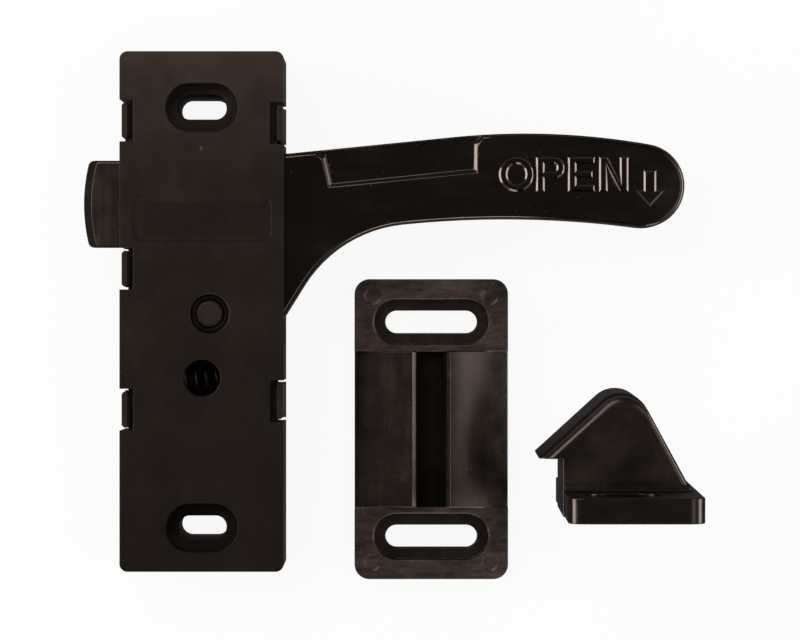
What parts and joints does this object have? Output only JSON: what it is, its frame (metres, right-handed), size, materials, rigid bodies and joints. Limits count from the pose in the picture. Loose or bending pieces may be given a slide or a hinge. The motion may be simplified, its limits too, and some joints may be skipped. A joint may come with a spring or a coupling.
{
  "type": "screen door latch",
  "caption": "Screen door latch with a slim moulded body, a long push-down lever handle and a sliding bolt, shown with a channel strike and a ramp strike beside it.",
  "frame": {"origin": "midway between the latch's screw slots, on its mounting face", "axes": "+X along the handle, +Y up the latch, +Z out from the door"},
  "size_m": [0.1516, 0.1329, 0.0763],
  "materials": {
    "housing_plastic": "satin",
    "cover_plastic": "matt",
    "lever_plastic": "glossy",
    "bolt_plastic": "satin",
    "spring_steel": "bright",
    "strike_plastic": "semi-gloss"
  },
  "bodies": {
    "latch": {"housing": "housing_plastic", "cover_plate": "cover_plastic", "return_spring": "spring_steel", "channel_strike": "strike_plastic", "ramp_strike": "strike_plastic"},
    "lever": {"lever_handle": "lever_plastic"},
    "bolt": {"latch_bolt": "bolt_plastic"}
  },
  "joints": [
    {"name": "lever_turn", "type": "hinge", "parent": "latch", "child": "lever", "pos_m": [0.00195, 0.00095, 0.013], "axis": [0, 0, -1], "range_deg": [0, 18], "stiffness_Nm_per_rad": 1, "springref_deg": -20.05, "deforming": ["return_spring"]},
    {"name": "bolt_slide", "type": "slide", "parent": "latch", "child": "bolt", "axis": [1, 0, 0], "range_m": [0, 0.0086]}
  ],
  "couplings": [
    {"joint": "bolt_slide", "follows": "lever_turn", "m_per_rad": 0.02705}
  ]
}
